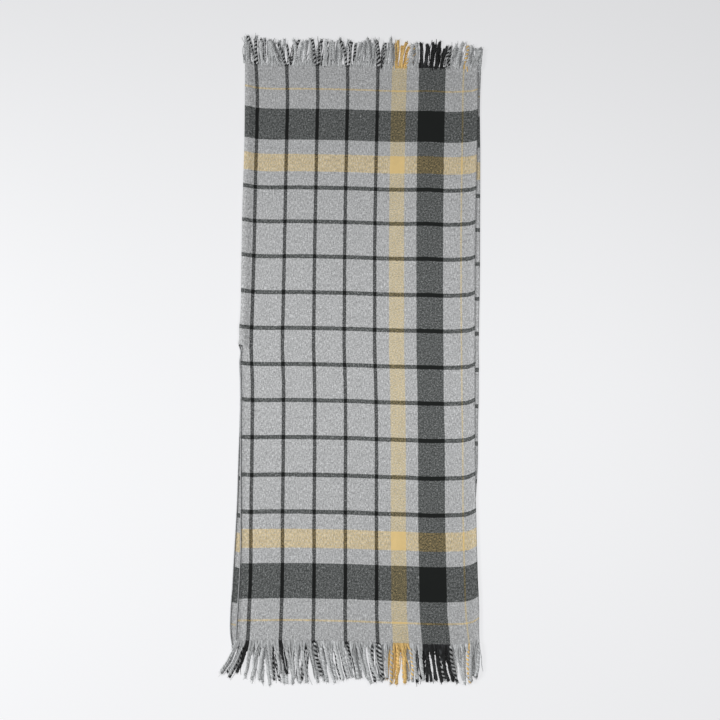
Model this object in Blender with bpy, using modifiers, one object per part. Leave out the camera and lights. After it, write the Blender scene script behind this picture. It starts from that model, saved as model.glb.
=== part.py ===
"""A fringed plaid poncho (a ruana), folded in half down the centre back and laid flat.

The garment is one woven rectangle with a slit from its middle to its front end. Folded, the fold of
the centre back is the upper half of the left side, and the two hemmed edges of the slit lie on each
other below it. +X goes from the fold to the open sides, +Y from the front end to the back end, +Z up.
The origin is at the middle of the underside of the whole garment, fringe included.
"""

import math
from collections import namedtuple

import bmesh
import bpy
import numpy as np

MM = 0.001

# The cloth and how its layers lie
WALL = 1.6 * MM              # brushed plaid cloth
LAYER_GAP = 0.4 * MM         # between the under layer and the upper one
SEAM_GAP = 0.3 * MM          # between pieces that meet edge to edge
SHOULDER = 0.0               # the slit starts at the middle of the length

# Where the woven cloth ends and its fringe starts: at the fold or slit, and at the open side. The
# under layer is folded a little askew, so its ends show past the upper ones
FOLD_X, OPEN_X = -321 * MM, 339 * MM
BACK_UPPER_END = (804 * MM, 792 * MM)
BACK_UNDER_END = (804 * MM, 774 * MM)
FRONT_UPPER_END = (-790 * MM, -794 * MM)
FRONT_UNDER_END = (-798 * MM, -798 * MM)

# The centre-back fold, a soft roll that flattens out across the upper layer
FOLD_DEPTH = 4.5 * MM        # how far the bend reaches sideways
ROLL_REACH = 70 * MM
ROLL_FADE = 70 * MM          # along the slit, below the shoulder

# The turned hems of the slit
HEM_WIDTH = 7 * MM
HEM_HEIGHT = 3.0 * MM        # two thicknesses, pressed
HEM_ROUNDING = 1.0 * MM
HEM_LIFT_LENGTH = 380 * MM   # of the slit, where one hem lies on the other

# The fringe, as the plain reach of its twisted cords
ROOT_THICKNESS = 1.6 * MM
CORD_THICKNESS = 4.4 * MM
CORD_GROWTH = 45 * MM        # from flat warp ends at the cloth to a full cord
TIP_THICKNESS = 3.4 * MM
LEAN_CURVE = 1.5             # a leaning cord starts straight and bends over towards its tip
SETTLE = 2.5                 # the fringe comes down from the roll in this part (1 / 2.5) of its reach

# How many faces each sheet has
UNDER_COLUMNS, BEND_COLUMNS, UPPER_COLUMNS = 8, 8, 14
LONG_ROWS, END_ROWS, END_ZONE = 15, 6, 0.12
CROWDING = 1.5               # draws the upper layer's columns towards the fold
FRINGE_COLUMNS, FRINGE_ROWS = 16, 6
HEM_COLUMNS = 2

# The outline, a row for each section along the length (mm)
BackSection = namedtuple("BackSection", "y fold upper_side under_side fold_height")
BACK_SECTIONS = [
    BackSection(0, -322, 318, 329, 8.0),
    BackSection(196, -322, 321, 334, 8.6),
    BackSection(394, -323, 326, 338, 7.8),
    BackSection(552, -320, 332, 342, 7.2),
    BackSection(728, -320, 338, 346, 7.6),
    BackSection(804, -321, 339, 351, 6.6),
]
FrontSection = namedtuple("FrontSection", "y upper_slit upper_side under_slit under_side")
FRONT_SECTIONS = [
    FrontSection(-800, -318, 317, -328, 318),
    FrontSection(-759, -318, 317, -335, 318),
    FrontSection(-703, -316, 318, -336, 318),
    FrontSection(-561, -310, 315, -329, 318),
    FrontSection(-417, -313, 314, -325, 320),
    FrontSection(-297, -315, 314, -320, 325),
    FrontSection(-203, -319, 315, -319, 326),
    FrontSection(0, -322, 318, -322, 329),
]

# The soft swells of the upper layer, where it doesn't lie quite flat (mm)
Swell = namedtuple("Swell", "x y half_width half_length height")
SWELLS = [
    Swell(150, 520, 120, 210, 1.8),
    Swell(-120, 250, 140, 160, 1.3),
    Swell(230, 40, 80, 190, 2.0),
    Swell(-60, -330, 170, 150, 1.6),
    Swell(210, -520, 90, 170, 2.2),
    Swell(-240, -610, 60, 150, 1.8),
]

# The reach of the fringe, a row for each stretch of an end: how far along the end it is from the fold
# side (share), how far its cords reach past the cloth and how far their tips lean to +X (mm)
Reach = namedtuple("Reach", "share reach lean")
BACK_UPPER_REACH = [
    Reach(0.00, 84, 4), Reach(0.13, 75, -2), Reach(0.27, 87, 3), Reach(0.45, 86, 0),
    Reach(0.56, 97, 8), Reach(0.76, 85, 3), Reach(0.90, 91, 2), Reach(1.00, 50, 18),
]
BACK_UNDER_REACH = [
    Reach(0.00, 74, 6), Reach(0.20, 80, 0), Reach(0.45, 84, 2), Reach(0.60, 90, 4),
    Reach(0.80, 92, 0), Reach(0.93, 94, -3), Reach(1.00, 74, 4),
]
FRONT_UPPER_REACH = [
    Reach(0.00, 76, -36), Reach(0.06, 80, -32), Reach(0.13, 93, -12), Reach(0.25, 88, -5),
    Reach(0.45, 98, 4), Reach(0.65, 97, 5), Reach(0.85, 92, 16), Reach(1.00, 78, 3),
]
FRONT_UNDER_REACH = [
    Reach(0.00, 70, -30), Reach(0.08, 78, -24), Reach(0.18, 84, -8), Reach(0.40, 90, 2),
    Reach(0.70, 86, 6), Reach(0.88, 84, 12), Reach(1.00, 82, 0),
]

# Colours (linear) and roughness of each material
Finish = namedtuple("Finish", "name colour roughness")
PLAID_CLOTH = Finish("plaid_cloth", (0.42, 0.43, 0.43), 0.95)
HEM_CLOTH = Finish("hem_cloth", (0.30, 0.31, 0.31), 0.95)
FRINGE_YARN = Finish("fringe_yarn", (0.34, 0.35, 0.35), 0.90)


# --- the numbers of a section ---------------------------------------------------------------------

def smooth_step(share):
    """0 to 1 with no slope at either end."""
    share = min(max(share, 0.0), 1.0)
    return share * share * (3.0 - 2.0 * share)


def last_third(share):
    """Still 0 at two thirds of the way, and 1 at the end."""
    return smooth_step(share * 3.0 - 2.0)


def fading(distance, reach):
    """1 at no distance, 0 from reach onwards, with no slope at either end."""
    return 0.5 * (1.0 + math.cos(math.pi * min(distance / reach, 1.0)))


def mix(a, b, share):
    return a + (b - a) * share


def read_table(rows, key, column, place):
    """A column of a table at any place between its rows, on a smooth curve through them."""
    keys = np.array([getattr(row, key) for row in rows], float)
    values = np.array([getattr(row, column) for row in rows], float)
    slopes = np.gradient(values, keys)
    place = min(max(place, keys[0]), keys[-1])
    i = min(int(np.searchsorted(keys, place, side="right")) - 1, len(keys) - 2)
    step = keys[i + 1] - keys[i]
    t = (place - keys[i]) / step
    leaving = (1 + 2 * t) * (1 - t) ** 2 * values[i] + t * (1 - t) ** 2 * step * slopes[i]
    arriving = t * t * (3 - 2 * t) * values[i + 1] + t * t * (t - 1) * step * slopes[i + 1]
    return float(leaving + arriving)


def back(column, y):
    return read_table(BACK_SECTIONS, "y", column, y / MM) * MM


def front(column, y):
    return read_table(FRONT_SECTIONS, "y", column, y / MM) * MM


def swell_height(x, y):
    """How far the swells lift the upper layer at this place."""
    height = 0.0
    for swell in SWELLS:
        across = (x / MM - swell.x) / swell.half_width
        along = (y / MM - swell.y) / swell.half_length
        height += swell.height * MM * smooth_step(1.0 - math.hypot(across, along))
    return height


def end_at(ends, x):
    """The straight line on which a layer's cloth ends."""
    return mix(ends[0], ends[1], (x - FOLD_X) / (OPEN_X - FOLD_X))


def pile_below(x, y):
    """The top of what the upper layer lies on: the under cloth, or its fringe past its ends."""
    if y > SHOULDER:
        past = y - end_at(BACK_UNDER_END, x)
    else:
        past = end_at(FRONT_UNDER_END, x) - y
    return mix(ROOT_THICKNESS, CORD_THICKNESS, smooth_step(past / CORD_GROWTH))


def roll_height(from_edge, y):
    """How far the upper layer still stands above its flat height beside the centre-back fold."""
    fold_rise = back("fold_height", max(y, SHOULDER)) - WALL - WALL - LAYER_GAP
    if y >= SHOULDER:
        return fold_rise * fading(from_edge, ROLL_REACH)
    hem_step = HEM_HEIGHT - WALL
    over_hem = hem_step * (1.0 - last_third((SHOULDER - y) / HEM_LIFT_LENGTH))
    rise = mix(fold_rise - hem_step, over_hem, smooth_step((SHOULDER - y) / ROLL_FADE))
    return rise * fading(from_edge, ROLL_REACH)


def upper_underside(x, y, from_edge):
    return pile_below(x, y) + LAYER_GAP + roll_height(from_edge, y) + swell_height(x, y)


# --- where a point of each sheet lies -------------------------------------------------------------

def row_places():
    """Rows along a panel, closer together near the end that carries the fringe."""
    long_rows = np.linspace(0.0, 1.0 - END_ZONE, LONG_ROWS + 1)
    end_rows = np.linspace(1.0 - END_ZONE, 1.0, END_ROWS + 1)
    return [float(place) for place in (*long_rows, *end_rows[1:])]


ROW_PLACES = row_places()


def panel_place(sections, inner, outer, ends, across, row, margin):
    """x and y of a panel's point: across from its inner edge to its outer one, and so many rows down.

    margin is what the fold or the hem takes up of the panel's inner side.
    """
    inner_x, outer_x = ends_x(sections, inner, ends), ends_x(sections, outer, ends)
    end_line = end_at(ends, mix(inner_x + margin, outer_x, across))
    start = SHOULDER + SEAM_GAP / 2 * (1 if end_line > SHOULDER else -1)
    y = mix(start, end_line, ROW_PLACES[row])
    return mix(sections(inner, y) + margin, sections(outer, y), across), y


def ends_x(sections, column, ends):
    """x of an edge where its cloth ends."""
    return sections(column, ends[0])


def back_point(column, row):
    """A point of the outer face of the back, which goes along the underside, round the fold and back."""
    if column < UNDER_COLUMNS:
        across = 1.0 - column / UNDER_COLUMNS
        place = panel_place(back, "fold", "under_side", BACK_UNDER_END, across, row, FOLD_DEPTH)
        return *place, 0.0
    if column <= UNDER_COLUMNS + BEND_COLUMNS:
        turn = math.pi * (column - UNDER_COLUMNS) / BEND_COLUMNS
        x, y = panel_place(back, "fold", "under_side", BACK_UNDER_END, 0.0, row, FOLD_DEPTH)
        height = back("fold_height", y) / 2 * (1 - math.cos(turn))
        return x - FOLD_DEPTH * math.sin(turn), y, height
    across = ((column - UNDER_COLUMNS - BEND_COLUMNS) / UPPER_COLUMNS) ** CROWDING
    x, y = panel_place(back, "fold", "upper_side", BACK_UPPER_END, across, row, FOLD_DEPTH)
    return x, y, upper_underside(x, y, x - back("fold", y) - FOLD_DEPTH) + WALL


def upper_front_point(column, row):
    """A point of the underside of the upper front, from its hem to its open side."""
    across = (column / UPPER_COLUMNS) ** CROWDING
    margin = HEM_WIDTH + SEAM_GAP
    x, y = panel_place(front, "upper_slit", "upper_side", FRONT_UPPER_END, across, row, margin)
    return x, y, upper_underside(x, y, x - front("upper_slit", y))


def under_front_point(column, row):
    """A point of the underside of the under front, which lies flat."""
    across = column / UNDER_COLUMNS
    margin = HEM_WIDTH + SEAM_GAP
    place = panel_place(front, "under_slit", "under_side", FRONT_UNDER_END, across, row, margin)
    return *place, 0.0


def hem_point(column, row, slit, ends):
    """A point of the underside of a hem, along the edge that the column named slit gives."""
    x, y = panel_place(front, slit, slit, ends, 0.0, row, HEM_WIDTH * column / HEM_COLUMNS)
    if slit == "under_slit":
        return x, y, 0.0
    return x, y, pile_below(x, y) + LAYER_GAP + roll_height(0.0, y)


def fringe_point(column, row, layer):
    """A point of the underside of a layer's fringe, from its root at the cloth to its tips."""
    share = column / FRINGE_COLUMNS
    out = row / FRINGE_ROWS
    sections = back if layer.at_back else front
    inner = ends_x(sections, layer.inner, layer.ends)
    root_x = mix(inner, ends_x(sections, layer.outer, layer.ends), share)
    root_y = end_at(layer.ends, root_x)
    x = root_x + read_reach(layer, "lean", share) * out ** LEAN_CURVE
    beyond = SEAM_GAP + read_reach(layer, "reach", share) * out
    y = root_y + beyond * (1 if layer.at_back else -1)
    if not layer.upper:
        return x, y, 0.0
    stands = roll_height(max(root_x - inner, 0.0), root_y) + swell_height(root_x, root_y)
    return x, y, pile_below(x, y) + LAYER_GAP + stands * (1.0 - smooth_step(out * SETTLE))


def read_reach(layer, column, share):
    return read_table(layer.reach, "share", column, share) * MM


def fringe_thickness(column, row, layer):
    """As thin as the cloth at its root, then as thick as its cords, and thinner again at the tips."""
    out = row / FRINGE_ROWS
    distance = read_reach(layer, "reach", column / FRINGE_COLUMNS) * out
    grown = mix(ROOT_THICKNESS, CORD_THICKNESS, smooth_step(distance / CORD_GROWTH))
    return grown - (CORD_THICKNESS - TIP_THICKNESS) * last_third(out)


# --- making the objects ---------------------------------------------------------------------------

def finish_material(finish):
    material = bpy.data.materials.get(finish.name)
    if material:
        return material
    material = bpy.data.materials.new(finish.name)
    material.use_nodes = True
    shader = material.node_tree.nodes["Principled BSDF"]
    shader.inputs["Base Color"].default_value = (*finish.colour, 1.0)
    shader.inputs["Roughness"].default_value = finish.roughness
    shader.inputs["Metallic"].default_value = 0.0
    return material


def make_sheet(name, columns, rows, place, finish, facing_down, thickness_share=None):
    """A grid of faces whose points are set by place(column, row), as an open surface."""
    grid = bmesh.new()
    bmesh.ops.create_grid(grid, x_segments=columns, y_segments=rows, size=0.5)
    weights = grid.verts.layers.deform.verify()
    for point in grid.verts:
        column = round((point.co.x + 0.5) * columns)
        row = round((point.co.y + 0.5) * rows)
        point.co = place(column, row)
        if thickness_share:
            point[weights][0] = thickness_share(column, row)
    grid.normal_update()
    if (sum(face.normal.z for face in grid.faces) < 0) != facing_down:
        bmesh.ops.reverse_faces(grid, faces=grid.faces[:])
    mesh = bpy.data.meshes.new(name)
    grid.to_mesh(mesh)
    grid.free()
    sheet = bpy.data.objects.new(name, mesh)
    mesh.materials.append(finish_material(finish))
    mesh.shade_smooth()
    return sheet


def give_wall(sheet, thickness):
    """A wall behind the open surface, away from the way its faces point."""
    wall = sheet.modifiers.new("wall", "SOLIDIFY")
    wall.thickness = thickness
    wall.offset = -1.0
    wall.use_even_offset = True


def round_edges(piece):
    rounding = piece.modifiers.new("rounding", "BEVEL")
    rounding.width = HEM_ROUNDING
    rounding.segments = 1
    rounding.limit_method = "ANGLE"
    rounding.angle_limit = math.radians(50)


Layer = namedtuple("Layer", "name at_back upper ends inner outer reach")
FRINGE_LAYERS = [
    Layer("fringe_back_upper", True, True, BACK_UPPER_END, "fold", "upper_side", BACK_UPPER_REACH),
    Layer("fringe_back_under", True, False, BACK_UNDER_END, "fold", "under_side", BACK_UNDER_REACH),
    Layer("fringe_front_left", False, True, FRONT_UPPER_END,
          "upper_slit", "upper_side", FRONT_UPPER_REACH),
    Layer("fringe_front_right", False, False, FRONT_UNDER_END,
          "under_slit", "under_side", FRONT_UNDER_REACH),
]


def make_panels():
    """The back, once round the fold, and the two fronts below the shoulder."""
    rows = LONG_ROWS + END_ROWS
    back_columns = UNDER_COLUMNS + BEND_COLUMNS + UPPER_COLUMNS
    panels = [
        make_sheet("back_panel", back_columns, rows, back_point, PLAID_CLOTH, False),
        make_sheet("front_left_panel", UPPER_COLUMNS, rows, upper_front_point, PLAID_CLOTH, True),
        make_sheet("front_right_panel", UNDER_COLUMNS, rows, under_front_point, PLAID_CLOTH, True),
    ]
    for panel in panels:
        give_wall(panel, WALL)
    return panels


def make_hems():
    hems = []
    for name, slit, ends in (
        ("front_left_hem", "upper_slit", FRONT_UPPER_END),
        ("front_right_hem", "under_slit", FRONT_UNDER_END),
    ):
        def place(column, row, slit=slit, ends=ends):
            return hem_point(column, row, slit, ends)

        hem = make_sheet(name, HEM_COLUMNS, LONG_ROWS + END_ROWS, place, HEM_CLOTH, True)
        give_wall(hem, HEM_HEIGHT)
        round_edges(hem)
        hems.append(hem)
    return hems


def make_fringes():
    fringes = []
    for layer in FRINGE_LAYERS:
        def place(column, row, layer=layer):
            return fringe_point(column, row, layer)

        def thickness_share(column, row, layer=layer):
            return fringe_thickness(column, row, layer) / CORD_THICKNESS

        fringe = make_sheet(
            layer.name, FRINGE_COLUMNS, FRINGE_ROWS, place, FRINGE_YARN, True, thickness_share
        )
        group = fringe.vertex_groups.new(name="cord_thickness")
        give_wall(fringe, CORD_THICKNESS)
        fringe.modifiers["wall"].vertex_group = group.name
        fringes.append(fringe)
    return fringes


def centre(pieces):
    """Moves every point, so that the origin is the middle of the whole garment's outline."""
    points = np.array([point.co for piece in pieces for point in piece.data.vertices])
    middle = (points.min(axis=0) + points.max(axis=0)) / 2
    for piece in pieces:
        for point in piece.data.vertices:
            point.co.x -= middle[0]
            point.co.y -= middle[1]


def main():
    for obj in list(bpy.data.objects):
        bpy.data.objects.remove(obj)
    garment = bpy.data.collections.new("poncho")
    bpy.context.scene.collection.children.link(garment)
    holder = bpy.data.objects.new("poncho_origin", None)
    garment.objects.link(holder)
    pieces = make_panels() + make_hems() + make_fringes()
    centre(pieces)
    for piece in pieces:
        garment.objects.link(piece)
        piece.parent = holder


main()
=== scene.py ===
# %% [markdown]
# # A fringed plaid poncho, folded in half and laid flat
#
# The garment is a ruana: one woven rectangle, 1.30 m wide and 1.59 m long, cut open from the middle
# of its length to its front end, with a twisted fringe at both ends. Here it lies folded down the
# middle, so two layers of cloth lie on each other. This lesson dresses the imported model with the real
# cloth, hems and fringe, and sets up the camera and light.
#
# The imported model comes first. Everything after it is in the same frame: metres, +X from the fold to
# the open sides, +Y from the front end to the back end, +Z up.

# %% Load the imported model
import math
import random
from collections import namedtuple

import bmesh
import bpy
import numpy as np
from mathutils import Matrix, Vector


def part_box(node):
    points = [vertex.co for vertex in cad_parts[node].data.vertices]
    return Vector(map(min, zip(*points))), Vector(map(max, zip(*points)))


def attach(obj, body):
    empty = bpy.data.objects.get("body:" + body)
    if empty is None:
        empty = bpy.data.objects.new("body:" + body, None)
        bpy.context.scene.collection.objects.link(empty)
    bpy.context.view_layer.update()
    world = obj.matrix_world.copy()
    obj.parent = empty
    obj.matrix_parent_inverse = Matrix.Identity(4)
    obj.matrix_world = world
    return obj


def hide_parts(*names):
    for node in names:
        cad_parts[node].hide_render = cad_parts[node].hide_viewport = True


MM = 0.001
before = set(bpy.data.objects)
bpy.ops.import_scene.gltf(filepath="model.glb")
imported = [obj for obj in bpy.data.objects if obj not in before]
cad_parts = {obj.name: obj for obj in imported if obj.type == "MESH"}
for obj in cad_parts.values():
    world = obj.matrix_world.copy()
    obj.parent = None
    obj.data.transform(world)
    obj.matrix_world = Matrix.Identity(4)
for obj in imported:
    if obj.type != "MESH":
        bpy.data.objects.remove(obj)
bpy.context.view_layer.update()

# %% [markdown]
# ## Camera
#
# The garment is seen from above, from nearly straight over its middle, with the front end a little
# nearer. A moderate lens from 2.5 m keeps the two long sides almost parallel.

# %% Camera
EYE_DISTANCE = 2.5            # metres from the eye to the point it looks at
EYE_TILT = math.radians(7.0)
LENS, SENSOR = 45.96, 36.0    # mm
AIM = Vector((5.6 * MM, -41.9 * MM, 0.0))

bpy.context.scene.view_settings.view_transform = "Standard"
camera_data = bpy.data.cameras.new("camera")
camera_data.lens = LENS
camera_data.sensor_width = SENSOR
camera = bpy.data.objects.new("camera", camera_data)
camera.location = AIM + EYE_DISTANCE * Vector((0, -math.sin(EYE_TILT), math.cos(EYE_TILT)))
camera.rotation_euler = (EYE_TILT, 0.0, 0.0)
bpy.context.collection.objects.link(camera)
bpy.context.scene.camera = camera

# %% [markdown]
# ## Colours and nodes
#
# Every colour is written as the sRGB hex that a colour picker shows, and one function turns it into
# the linear light that Blender mixes. Another adds a shader node with its settings and links, and
# hands back its output, so that a material reads as a list of steps.


# %% Colour and node helpers
def linear(hex_colour):
    """An sRGB hex colour as linear red, green and blue."""
    parts = [int(hex_colour[i : i + 2], 16) / 255 for i in (1, 3, 5)]
    return [p / 12.92 if p <= 0.04045 else ((p + 0.055) / 1.055) ** 2.4 for p in parts]


def new_material(name):
    """A material with its node tree and its Principled shader."""
    material = bpy.data.materials.new(name)
    material.use_nodes = True
    return material, material.node_tree, material.node_tree.nodes["Principled BSDF"]


def set_inputs(tree, node, inputs):
    """Sets a node's inputs, by name or number: to a value, or to what another node's output gives."""
    for key, value in inputs.items():
        if isinstance(value, bpy.types.NodeSocket):
            tree.links.new(value, node.inputs[key])
        else:
            node.inputs[key].default_value = value


def add(tree, kind, inputs, output=0, **settings):
    """Adds a shader node of a kind and hands back one of its outputs, by name or number."""
    node = tree.nodes.new("ShaderNode" + kind)
    for name, value in settings.items():
        setattr(node, name, value)
    set_inputs(tree, node, inputs)
    return node.outputs[output]


# %% [markdown]
# ## Floor and light
#
# The floor is a sheet of white studio paper over a light table: a little light comes through it, so
# it stays pale even where the lamps reach less. The light is a large softbox on the left, which gives
# the rolled fold its bright flank and the open side its faint shadow, and a weaker one on the right,
# above the middle. Both ends of the garment get less light than its middle.

# %% Floor
FLOOR_SIDE = 7.0              # metres
# The light table is a little weaker towards the back end and stronger towards the front: its glow
# in the middle, how much less it is for each metre further back, and how far that goes on
GLOW, GLOW_SLOPE, GLOW_REACH = 0.665, 0.045, 1.2

floor_mesh = bmesh.new()
bmesh.ops.create_grid(floor_mesh, x_segments=1, y_segments=20, size=FLOOR_SIDE / 2)
floor_data = bpy.data.meshes.new("floor")
floor_mesh.to_mesh(floor_data)
floor_mesh.free()
glow = floor_data.attributes.new("glow", "FLOAT", "POINT")
for point, level in zip(floor_data.vertices, glow.data):
    level.value = GLOW - GLOW_SLOPE * max(min(point.co.y, GLOW_REACH), -GLOW_REACH)
floor = bpy.data.objects.new("floor", floor_data)
bpy.context.collection.objects.link(floor)

# Matt white paper, lit through from below: it gives the eye nothing but an even, pale ground
paper, tree, shader = new_material("matt_white_paper")
set_inputs(tree, shader, {
    "Base Color": (*linear("#7F8081"), 1.0),
    "Emission Color": (*linear("#FDFDFF"), 1.0),
    "Emission Strength": add(tree, "Attribute", {}, "Fac", attribute_name="glow"),
    "Roughness": 0.9, "Specular IOR Level": 0.2,
})
floor_data.materials.append(paper)
print("floor:", FLOOR_SIDE, "m wide, of", paper.name)

# %% Lights
# The lamps' places, sizes and powers came from a fitting program and were then moved a little by hand
Softbox = namedtuple("Softbox", "name place aim width length watts")  # places and sizes in metres
SOFTBOXES = [
    Softbox("left_softbox", (-1.93, -0.22, 1.63), (0.0, -0.12, 0.0), 1.21, 0.89, 50.3),
    Softbox("right_softbox", (0.62, -0.10, 1.33), (0.12, -0.12, 0.0), 0.61, 0.77, 11.0),
]
for box in SOFTBOXES:
    lamp = bpy.data.lights.new(box.name, "AREA")
    lamp.shape = "RECTANGLE"
    lamp.size = box.width
    lamp.size_y = box.length
    lamp.energy = box.watts
    light = bpy.data.objects.new(box.name, lamp)
    light.location = box.place
    away = Vector(box.place) - Vector(box.aim)
    light.rotation_euler = away.to_track_quat("Z", "Y").to_euler()
    bpy.context.collection.objects.link(light)

room = bpy.data.worlds.new("white_room")
room.use_nodes = True
walls = room.node_tree.nodes["Background"]
set_inputs(room.node_tree, walls, {"Color": (1.0, 1.0, 1.0, 1.0), "Strength": 0.12})
bpy.context.scene.world = room
print("lights:", [box.name for box in SOFTBOXES], "and", room.name)

# %% [markdown]
# ## The sett
#
# A plaid's pattern is its sett: the order of the coloured threads. The same half sett is used in both
# directions here and mirrored about the middle: thin black lines make the windowpanes, and an amber
# band, a wide black band and one thin amber line close it off. The warp threads run along the length
# and are counted from the slit; the weft threads run across and are counted from the shoulder.

# %% The sett
Stripe = namedtuple("Stripe", "start end yarn")  # mm from the middle, on both sides of it
HALF_WIDTH = 651
FRONT_LENGTH, BACK_LENGTH = 787, 802
WARP_LINE, WEFT_LINE = 9.7, 11.4      # widths of the thin black lines


def black_lines(first, apart, width, yarn, count=5):
    """Evenly spaced thin lines; first is the middle of the first one."""
    starts = [first + apart * i - width / 2 for i in range(count)]
    return [Stripe(start, start + width, yarn) for start in starts]


WARP_STRIPES = [
    *black_lines(42, 84, WARP_LINE, "deep_black"),
    Stripe(417, 458, "amber"),
    Stripe(491.5, 564.5, "black"),
    Stripe(610.8, 615.2, "amber"),
]
WEFT_STRIPES = [
    *black_lines(49.6, 99.2, WEFT_LINE, "black"),
    Stripe(491, 541, "amber"),
    Stripe(582.5, 672.5, "black"),
    Stripe(728.5, 733.5, "amber"),
]
# The warp's thin lines are set a little closer than its wide band, so they come out deeper
WARP_YARNS = {
    "grey": linear("#ADAEAF"), "black": linear("#161918"), "deep_black": linear("#0D0E0E"),
    "amber": linear("#D8BF88"),
}
WEFT_YARNS = WARP_YARNS | {"amber": linear("#E0C183")}
print(len(WARP_STRIPES), "warp stripes and", len(WEFT_STRIPES), "weft stripes in each half")

# %% [markdown]
# ## How the cloth lies
#
# The outline and the drift of the threads are written as short tables, a row for each place. They are
# not sizes that a maker chose: BACKS, FRONTS and SAGS were written from positions that a measuring
# program printed, and DRIFTS and BEATS are nearly that program's own numbers. A smooth curve through the
# rows gives any place between them.
# s is a place across the cloth, from the slit (+ on the upper layer, - on the under one), and w is a
# place along it, from the shoulder (+ to the back end). The rest of this section turns s and w into
# x, y and z.


# %% Tables
def make_table(columns, rows):
    """Rows with named columns."""
    Row = namedtuple("Row", columns)
    return [Row(*row) for row in rows]


def soft_curve(keys, values, at):
    """Values at any places between the keys, on a smooth curve through them."""
    keys, values = np.asarray(keys, float), np.asarray(values, float)
    slopes = np.gradient(values, keys)
    at = np.clip(at, keys[0], keys[-1])
    i = np.clip(np.searchsorted(keys, at, side="right") - 1, 0, len(keys) - 2)
    step = keys[i + 1] - keys[i]
    t = (at - keys[i]) / step
    leaving = (1 + 2 * t) * (1 - t) ** 2 * values[i] + t * (1 - t) ** 2 * step * slopes[i]
    arriving = t * t * (3 - 2 * t) * values[i + 1] + t * t * (t - 1) * step * slopes[i + 1]
    return leaving + arriving


def column(table, name):
    return [getattr(row, name) for row in table]


def read(table, key, name, at):
    return soft_curve(column(table, key), column(table, name), at)


def smooth_step(share):
    """0 to 1 with no slope at either end."""
    share = np.clip(share, 0.0, 1.0)
    return share * share * (3.0 - 2.0 * share)


# %% The outline
BACKS = make_table("w fold upper_side under_side fold_height", [
    (0, -326.5, 318, 328, 13.0), (14, -324, 318, 328, 14.0), (38, -324.5, 318.5, 329, 13.4),
    (74, -322, 319, 330, 11.8), (196, -321.5, 321, 334, 11.0), (394, -321, 326, 338, 9.6),
    (552, -318.5, 332, 341, 9.0), (728, -319.5, 337, 343, 9.4), (804, -320.5, 338, 347, 7.0),
])
FRONTS = make_table("w upper_slit upper_side under_slit under_side", [
    (-800, -321, 317, -328, 305), (-759, -320.5, 317, -335, 306), (-703, -318.3, 318, -336, 306),
    (-630, -314.8, 316, -332, 305), (-561, -312.5, 315, -329.3, 310), (-417, -314.2, 314, -323.5, 313),
    (-297, -316, 314, -321.5, 321), (-203, -317, 315, -319.3, 323), (-120, -318, 316, -319.5, 326),
    (-90, -319.5, 316.5, -320.5, 326.5), (-62, -321, 317, -322.5, 327), (-42, -321, 317, -322.5, 328),
    (-24, -319.5, 317, -320.3, 328), (-14, -318, 318, -322, 328), (-5, -317.5, 318, -325, 328),
    (0, -319, 318, -326, 328),
])
print("the outline is read at", len(BACKS), "places of the back and", len(FRONTS), "of the fronts")

# %% The threads
# How far a few warp lines lie to +X of where an even, straight warp would put them
DRIFTS = make_table("w line_1 line_3 line_5 amber_edge black_edge thin_line", [
    (-787, 1.2, 5.4, 6.3, 8.4, 10.7, 11.5), (-764, 2.8, 5.7, 5.8, 7.2, 8.6, 9.1),
    (-711, 4.3, 6.0, 4.0, 3.5, 3.6, 3.8), (-626, 6.9, 6.9, 4.0, 3.3, 2.1, 1.6),
    (-470, 6.0, 6.1, 3.6, 1.9, 0.0, -0.3), (-250, 6.0, 6.3, 4.2, 3.0, 1.4, 1.1),
    (-97, 4.5, 5.0, 2.6, 2.0, 0.1, 0.8), (0, -0.2, 1.9, 0.0, 0.2, 0.5, 1.1),
    (100, 1.6, 2.2, 0.3, 0.7, 0.8, 1.8), (300, 4.4, 3.4, 0.8, 1.7, 3.2, 4.1),
    (471, 5.2, 5.7, 3.7, 3.3, 6.0, 7.8), (634, 7.2, 7.8, 7.7, 7.2, 10.5, 12.6),
    (704, 7.0, 9.2, 9.3, 9.6, 12.9, 14.1), (802, 1.8, 7.3, 11.0, 12.5, 16.0, 18.3),
])
DRIFT_PLACES = {
    "line_1": 42, "line_3": 210, "line_5": 378, "amber_edge": 458, "black_edge": 565, "thin_line": 613,
}
EVEN_WARP = -333.0            # x of s = 0, if the warp were even
EDGE_STRETCH = 6              # mm from line 1 to the warp that stretches to reach the edge
# How far the weft sags towards the front end, at five places along the cloth
SAG_ROWS = {"front_end": -760, "front": -380, "middle": 0, "back": 380, "back_end": 760}
SAGS = make_table("s front_end front middle back back_end", [
    (-651, 15, 18, 16, 25, 24), (-325, 11, 13, 8, 10, 12), (-14, 9, 8, -5, -5, -6),
    (10, 1, 0, -5, -6, -9), (20, 1, 0, -2.5, -4, -6.5), (40, 1, 1, -1, -1.5, -3),
    (70, 0.5, 0.3, 0, 0, -0.5), (160, 0, 0, 0, 0, 0), (245, 1.4, 1.4, 1.4, 1.4, 1.4),
    (325, 3.3, 3.3, 3.3, 3.3, 3.3), (390, 6, 6, 6, 6, 6), (462, 8, 8, 7.8, 7.5, 7.5),
    (522, 10.5, 11, 9, 7, 7), (577, 10.5, 10, 10.5, 10, 9.5), (620, 7.2, 7.6, 8.5, 8.5, 8),
    (636, 2.6, 3.4, 6.5, 6.8, 6.5), (651, -6.5, -4, 0, 2, 3),
])
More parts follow.
